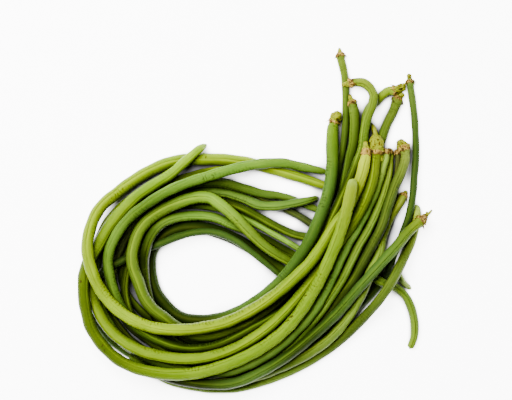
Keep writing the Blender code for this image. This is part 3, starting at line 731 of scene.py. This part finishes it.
class SkinMaker(Maker):
    """Adds shader nodes; colours go through Mix and Vector Math."""

    def read(self, name, out="Fac"):
        node = self.add("ShaderNodeAttribute", {"attribute_name": name})
        return Value(self, node.socket.node.outputs[out])

    def mix(self, share, first, second, blend="MIX"):
        """first where share is 0, second where it is 1."""
        node = self.tree.nodes.new("ShaderNodeMix")
        node.data_type = "RGBA"
        node.blend_type = blend
        for number, given in ((0, share), (6, first), (7, second)):
            if isinstance(given, Value):
                self.tree.links.new(given.socket, node.inputs[number])
            else:
                node.inputs[number].default_value = given if number == 0 else (*given, 1.0)
        return Value(self, node.outputs[2])


def scar(maker, spot, place, above):
    """1 inside one scar; above is the height of the skin there, in mm."""
    x, y, length, width, heading = spot
    turn = math.radians(heading)
    off_x, off_y, off_z = maker.parts(maker.vector_math("SUBTRACT", place, (x, y, above)))
    ahead = (off_x * math.cos(turn) + off_y * math.sin(turn)) / (length / 2)
    aside = (off_y * math.cos(turn) - off_x * math.sin(turn)) / (width / 2)
    ragged = (maker.noise(place, 1.6, 3.0, 0.7) - 0.5) * 1.6
    return (ahead * ahead + aside * aside + (off_z * 0.25) ** 2.0 + ragged).ramp(1.25, 0.55)


def skin_above(name, x, y):
    """Height of a pod's skin over a place on the table, in mm."""
    points, radii = fine[name][:2]
    nearest = np.argmin(np.hypot(points[:, 0] - x * MM, points[:, 1] - y * MM))
    return (points[nearest][2] + radii[nearest]) / MM


def tone_along(maker, along, stops):
    """A smooth run through a pod's tones, which hold painted light and shade as well as its own green."""
    tone_and_shade = maker.number(stops[0][1])
    for (start, before), (end, after) in zip(stops, stops[1:]):
        tone_and_shade = tone_and_shade + along.ramp(start, end) * (after - before)
    return tone_and_shade


def bean_skin(name, seed):
    """The material of one pod."""
    main, _, groove, _, crease_shade = HABITS[name]
    blotches = ENDS[name][7]
    shifted = tuple(part * share for part, share in zip(main, (0.58, 0.72, 0.55)))
    stretched = tuple(part * share for part, share in zip(main, (1.55, 1.42, 0.4)))
    deepest = tuple(part * 0.30 for part in main)
    knob_from, knob_to, collar_from, collar_to = ENDS[name][:4]

    material = bpy.data.materials.new(name + "_skin")
    material.use_nodes = True
    shader = material.node_tree.nodes["Principled BSDF"]
    maker = SkinMaker(material.node_tree)
    along = maker.read("along") * IN_MM
    to_tip = maker.read("to_tip") * IN_MM
    size = maker.read("thick") * IN_MM
    side, up, _ = maker.parts(maker.read("across", "Vector"))
    across = (side * size, up * size)
    place = maker.vector(across[0] + seed * 13.0, across[1], along)
    drawn_out = maker.vector(across[0] + seed * 7.0, across[1], along * 0.06)
    body = (along - collar_to).ramp(0.0, 4.0)

    slow = maker.noise(maker.vector(across[0] * 0.3 + seed * 5.0, across[1] * 0.3, along), 0.022, 3.0)
    colour = maker.mix(slow.ramp(0.38, 0.70) * 0.8, main, shifted)
    patches = maker.noise(place, 0.16, 4.0, 0.6)
    colour = maker.mix(patches.ramp(0.54, 0.72) * 0.5, colour, shifted)
    streaks = maker.noise(drawn_out, 0.8, 4.0, 0.65)
    colour = maker.mix(streaks.ramp(0.46, 0.74) * 0.5, colour, stretched)
    fine_streaks = maker.noise(drawn_out, 3.2, 2.0)
    colour = maker.mix(fine_streaks.ramp(0.62, 0.40) * 0.30, colour, shifted)

    # the tones along the pod: partly its own green, partly painted light and shade from where it lies
    tone_and_shade = tone_along(maker, along, TONES_LIGHT_AND_SHADE[name])
    # painted shade: the green is darkened where the other pods hide the sky, as `open` says
    tone_and_shade = tone_and_shade * (DARKEST_PAINTED_SHADE + (1.0 - DARKEST_PAINTED_SHADE) * maker.read("open") ** 1.1)
    colour = maker.mix(1.0, colour, maker.vector(tone_and_shade, tone_and_shade, tone_and_shade), "MULTIPLY")
    colour = maker.mix(along.ramp(60.0, 15.0), colour, RIPENED.get(name, RIPENING), "MULTIPLY")
    share = (side.ramp(-0.2, 0.2) * 0.4 + 0.6) * body
    distance = abs(across[1])
    beside = (across[1] - 1.0).bell(0.75)
    clear = maker.noise(maker.vector(seed * 9.0, 0.0, along), 0.018, 2.0).ramp(0.40, 0.56) * 0.75 + 0.25
    colour = maker.mix(beside * (1.7 * groove) * share * clear, colour, stretched)
    broken = maker.noise(place, 0.25, 2.0).ramp(0.30, 0.55) * clear
    colour = maker.mix(distance.bell(0.24) * (0.4 + 2.2 * groove) * share * broken, colour, deepest)

    squeezed = maker.read("squeeze") * body
    wander = maker.noise(maker.vector(across[0], across[1], along), 0.35, 3.0) * 7.0
    folds = abs((along * (math.pi / FOLD_SPACING) + wander + seed).sin())
    # painted shade: the troughs of the cross wrinkles on the squeezed inner side of a bend are darkened
    crease = (1.0 - folds) ** 1.4 * squeezed * maker.noise(place, 0.4, 2.0).ramp(0.36, 0.54)
    colour = maker.mix((crease * (1.6 * crease_shade)).at_most(0.9), colour, deepest)

    blotch = maker.noise(place, 0.55, 4.0, 0.7)
    knob = maker.mix(blotch.ramp(0.64 - blotches * 0.14, 0.72 - blotches * 0.14), KNOB_GREEN, KNOB_BROWN)
    stub = maker.mix(along.ramp(1.3, 0.3) * 0.8, STUB_GREEN, COLLAR_BROWN)
    knob = maker.mix(maker.noise(place, 0.9, 3.0, 0.6).ramp(0.48, 0.62) * 0.6, knob, KNOB_SHADE)
    knob = maker.mix((along - knob_from).ramp(0.8, -0.8), knob, stub)
    at_knob = (along - knob_to).ramp(0.9, -0.5)
    colour = maker.mix(at_knob, colour, knob)
    edge_place = maker.vector(across[0] + seed * 9.0, across[1], 0.0)
    collar = collar_mask(maker, along, edge_place, collar_from, collar_to)
    shreds = maker.noise(maker.vector(across[0] * 2.0, across[1] * 2.0, along * 0.5), 0.9, 3.0, 0.7)
    dry = maker.mix(shreds.ramp(0.52 - blotches * 0.06, 0.62 - blotches * 0.06), COLLAR_TAN, COLLAR_BROWN)
    dry = maker.mix(blotch.ramp(0.56, 0.64) * 0.7, dry, KNOB_GREEN)
    dry = maker.mix((along - collar_to).ramp(-1.4, 0.2) * 0.7, dry, COLLAR_BROWN)
    flaked = collar.at_least(maker.read("dry"))
    colour = maker.mix(flaked, colour, dry)

    colour = maker.mix(along.ramp(9.0, 0.0) * (1.0 if name in SNAPPED_PODS else 0.0), colour, SNAPPED)
    colour = maker.mix(to_tip.ramp(18.0, 1.0) * 0.35, colour, stretched)
    if name not in ("pod_12", "pod_13"):
        colour = maker.mix(to_tip.ramp(2.6, 0.6) * 0.9, colour, COLLAR_BROWN)
    texture_place = maker.add("ShaderNodeTexCoord", out=3)
    table_place = maker.vector_math("MULTIPLY", texture_place, (IN_MM, IN_MM, IN_MM))
    for spot in SCARS.get(name, []):
        marked = scar(maker, spot, table_place, skin_above(name, *spot[:2]))
        colour = maker.mix(marked * 0.9, colour, SCAR_BROWN)

    shader.inputs["Specular IOR Level"].default_value = 0.05
    shader.inputs["Specular Tint"].default_value = (0.9, 1.0, 0.10, 1.0)
    shader.inputs["Subsurface Weight"].default_value = 0.05
    shader.inputs["Subsurface Radius"].default_value = (0.6, 1.0, 0.25)
    shader.inputs["Subsurface Scale"].default_value = 0.8 * MM
    rough = 0.50 + (streaks - 0.5) * 0.25 + flaked * 0.35 + at_knob * 0.15
    material.node_tree.links.new(colour.socket, shader.inputs["Base Color"])
    material.node_tree.links.new(rough.socket, shader.inputs["Roughness"])
    relief = fine_streaks * 0.35 + maker.noise(place, 2.6, 3.0, 0.6) * 0.5 - crease * 1.2
    relief = relief - distance.bell(0.30) * 0.9 * share
    bump = maker.add("ShaderNodeBump", {}, {"Strength": 0.5, "Distance": 0.16 * MM, "Height": relief})
    material.node_tree.links.new(bump.socket, shader.inputs["Normal"])
    return material


# %% [markdown]
# ## The seventeen pods
#
# Each pod's own habits are set here: its green, how its sutures are turned and how deep they are, and
# how dark the painted shade in its creases is. The rest is drawn from a generator with a fixed seed, so
# that every run gives the same bunch. The modifier's inputs are set by their identifiers before the pod
# is first evaluated, and the result is turned into a plain mesh.

# %% Habits of the pods
# green, suture's turn, groove depth in mm, second suture's share, how dark the painted shade in its creases
# is
HABITS = {
    "pod_01": ((0.144, 0.210, 0.000), -0.24, 0.22, 0.5, 0.80),
    "pod_02": ((0.094, 0.154, 0.002), -0.18, 0.16, 0.5, 0.50),
    "pod_03": ((0.034, 0.073, 0.009), -0.12, 0.14, 0.5, 0.60),
    "pod_04": ((0.052, 0.095, 0.009), -0.20, 0.14, 0.5, 0.30),
    "pod_05": ((0.056, 0.109, 0.009), -0.157, 0.20, 0.5, 0.60),
    "pod_06": ((0.080, 0.133, 0.008), -0.165, 0.28, 0.6, 0.50),
    "pod_07": ((0.059, 0.104, 0.011), -0.15, 0.14, 0.5, 0.30),
    "pod_08": ((0.027, 0.056, 0.009), -0.12, 0.14, 0.5, 0.30),
    "pod_09": ((0.051, 0.093, 0.009), -0.20, 0.18, 0.5, 0.40),
    "pod_10": ((0.098, 0.153, 0.002), -0.23, 0.22, 0.6, 0.60),
    "pod_11": ((0.052, 0.096, 0.012), -0.20, 0.22, 0.5, 0.40),
    "pod_12": ((0.062, 0.104, 0.009), -0.25, 0.30, 0.7, 0.30),
    "pod_13": ((0.036, 0.050, 0.013), -0.20, 0.18, 0.5, 0.30),
    "pod_14": ((0.041, 0.066, 0.009), -0.22, 0.20, 0.6, 0.50),
    "pod_15": ((0.064, 0.099, 0.009), -0.25, 0.22, 0.6, 0.30),
    "pod_16": ((0.030, 0.061, 0.009), -0.25, 0.26, 0.6, 0.30),
    "pod_17": ((0.056, 0.090, 0.009), -0.15, 0.16, 0.5, 0.40),
}
# Pods whose sutures keep to a course of their own: turns in a metre, and how much that turns back
TWISTS = {
    "pod_05": (-0.44, 0.0), "pod_06": (-1.125, 2.15), "pod_10": (-0.45, 0.0), "pod_12": (0.0, 0.0),
}


def heap_object():
    """All the solid pods copied into one mesh, for the rays to meet."""
    corners, faces = [], []
    for name in POD_NAMES:
        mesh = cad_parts[name].data
        faces += [[len(corners) + corner for corner in face.vertices] for face in mesh.polygons]
        corners += [corner.co[:] for corner in mesh.vertices]
    mesh = bpy.data.meshes.new("heap")
    mesh.from_pydata(corners, [], faces)
    heap = bpy.data.objects.new("heap", mesh)
    bpy.context.scene.collection.objects.link(heap)
    return heap


def set_inputs(modifier, values):
    """Sets a modifier's inputs by the names that the tree gives them."""
    identifiers = {item.name: item.identifier for item in modifier.node_group.interface.items_tree
                   if item.in_out == "INPUT"}
    for name, value in values.items():
        modifier[identifiers[name]] = value


def plain_mesh(pod):
    """Swaps the object's mesh for what its modifier makes of it, and drops the modifier."""
    graph = bpy.context.evaluated_depsgraph_get()
    made = bpy.data.meshes.new_from_object(pod.evaluated_get(graph))
    made.name = pod.name
    pod.modifiers.clear()
    spent = pod.data
    pod.data = made
    bpy.data.meshes.remove(spent)


def keep_inside(mesh):
    """Presses the skin flat where it would pass the solid model's box, as on the table."""
    corners = np.empty(len(mesh.vertices) * 3)
    mesh.vertices.foreach_get("co", corners)
    inside = np.clip(corners.reshape(-1, 3), np.array(CAD_LOW), np.array(CAD_HIGH))
    mesh.vertices.foreach_set("co", inside.ravel())
    mesh.update()


def dress(name, draw, heap):
    """Sweeps one pod's skin, finishes it and puts it in the solid's place."""
    _, turn, groove, second, _ = HABITS[name]
    knob_from, knob_to, collar_from, collar_to, lumps, share, stub, _ = ENDS[name]
    seed = draw.uniform(0.0, 6.0)
    twist, twist_back = TWISTS.get(name, (draw.uniform(-0.2, 0.2), 0.0))
    pod = skins[name]
    modifier = pod.modifiers.new("skin", "NODES")
    modifier.node_group = skin_tree
    set_inputs(modifier, {
        "Suture turn": turn,
        "Twist": twist,
        "Twist back": twist_back,
        "Groove depth": groove,
        "Lip height": groove * 0.45,
        "Second suture": second,
        "Seed swell": draw.uniform(0.05, 0.16),
        "Wrinkle depth": draw.uniform(0.20, 0.32),
        "Unevenness": draw.uniform(0.15, 0.30),
        "Knob from": knob_from,
        "Knob to": knob_to,
        "Collar from": collar_from,
        "Collar to": collar_to,
        "Knob lumps": lumps,
        "Flake share": share,
        "Stub swell": stub,
        "Seed": seed,
        "Heap": heap,
        "Skin": bean_skin(name, seed),
    })
    plain_mesh(pod)
    keep_inside(pod.data)
    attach(pod, "root")
    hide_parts(name)
    return pod


draw = np.random.default_rng(17)
heap = heap_object()
triangles = 0
for name in POD_NAMES:
    pod = dress(name, draw, heap)
    pod.data.calc_loop_triangles()
    triangles += len(pod.data.loop_triangles)
print(triangles, "triangles on", len(POD_NAMES), "pods")

# %% [markdown]
# ## Table and light
#
# A plain white table and soft light from a wide box overhead. The table glows a little, which is
# painted light that keeps it white round the bunch. Where the pods hide the sky it doesn't glow and its
# white is darkened, as painted shade among the pods, and the same rays as for the skins find those places.

# %% Table
TABLE_WIDTH = 4.0
GLOW_WIDTH = 0.36           # the part of the table that is fine enough for the shade among the pods
GLOW_CELLS = 200
UNDER_PODS = 0.05 * MM      # how far the table lies under the pods, and its wide part under that:
UNDER_GLOW = 0.02 * MM


def table_tree(heap):
    """A wide table with a fine square in its middle, which knows how much sky it sees."""
    tree = bpy.data.node_groups.new("table", "GeometryNodeTree")
    tree.interface.new_socket("Geometry", in_out="OUTPUT", socket_type="NodeSocketGeometry")
    maker = ShapeMaker(tree)
    cells = {"Size X": GLOW_WIDTH, "Size Y": GLOW_WIDTH,
             "Vertices X": GLOW_CELLS, "Vertices Y": GLOW_CELLS}
    fine_square = maker.add("GeometryNodeMeshGrid", {}, cells)
    model = maker.add("GeometryNodeObjectInfo", {}, {"Object": heap}, "Geometry")
    up = maker.vector(0.0, 0.0, 1.0)
    fine_square = maker.keep(fine_square, "open", open_sky(maker, model, up))
    wide = maker.add("GeometryNodeMeshGrid", {}, {"Size X": TABLE_WIDTH, "Size Y": TABLE_WIDTH,
                                                  "Vertices X": 2, "Vertices Y": 2})
    wide = maker.add("GeometryNodeTransform", {}, {"Geometry": wide, "Translation": (0, 0, -UNDER_GLOW)})
    both = maker.join(fine_square, maker.keep(wide, "open", 1.0))
    both = maker.add("GeometryNodeRealizeInstances", {}, {"Geometry": both})
    both = maker.add("GeometryNodeSetMaterial", {}, {"Geometry": both, "Material": table_white()})
    leave = tree.nodes.new("NodeGroupOutput")
    tree.links.new(both.socket, leave.inputs["Geometry"])
    return tree


def table_white():
    """White, glowing with painted light where it sees the sky and darkened with painted shade where the
    pods hide it.
    """
    white = bpy.data.materials.new("table_white")
    white.use_nodes = True
    shader = white.node_tree.nodes["Principled BSDF"]
    shader.inputs["Roughness"].default_value = 0.8
    shader.inputs["Specular IOR Level"].default_value = 0.1
    shader.inputs["Emission Strength"].default_value = 6.5
    maker = SkinMaker(white.node_tree)
    # painted light: the glow where the table sees the sky; painted shade: the white darkened among the pods
    lit = maker.read("open").ramp(0.20, 0.62)
    pale = maker.read("open").ramp(0.10, 0.40) * 0.87 + 0.05
    white.node_tree.links.new(maker.vector(lit, lit, lit).socket, shader.inputs["Emission Color"])
    white.node_tree.links.new(maker.vector(pale, pale, pale).socket, shader.inputs["Base Color"])
    return white


table = bpy.data.objects.new("table", bpy.data.meshes.new("table"))
table.location.z = -UNDER_PODS
bpy.context.scene.collection.objects.link(table)
table.modifiers.new("table", "NODES").node_group = table_tree(heap)
plain_mesh(table)
bpy.data.objects.remove(heap, do_unlink=True)
print("table", TABLE_WIDTH, "m wide")

# %% Light
def soft_light(name, place, aim, size, power):
    """A square area light at a place, turned towards a point."""
    data = bpy.data.lights.new(name, "AREA")
    data.size = size
    data.energy = power
    light = bpy.data.objects.new(name, data)
    light.location = place
    light.rotation_euler = (Vector(aim) - Vector(place)).to_track_quat("-Z", "Y").to_euler()
    bpy.context.scene.collection.objects.link(light)
    return light


soft_light("key", (-0.45, 0.45, 1.35), (0, 0, 0), 0.9, 130)
soft_light("fill", (0.9, -0.8, 0.9), (0, 0, 0), 1.2, 2)
world = bpy.data.worlds.new("room")
world.use_nodes = True
world.node_tree.nodes["Background"].inputs["Color"].default_value = (1.0, 1.0, 1.0, 1)
world.node_tree.nodes["Background"].inputs["Strength"].default_value = 0.15
bpy.context.scene.world = world
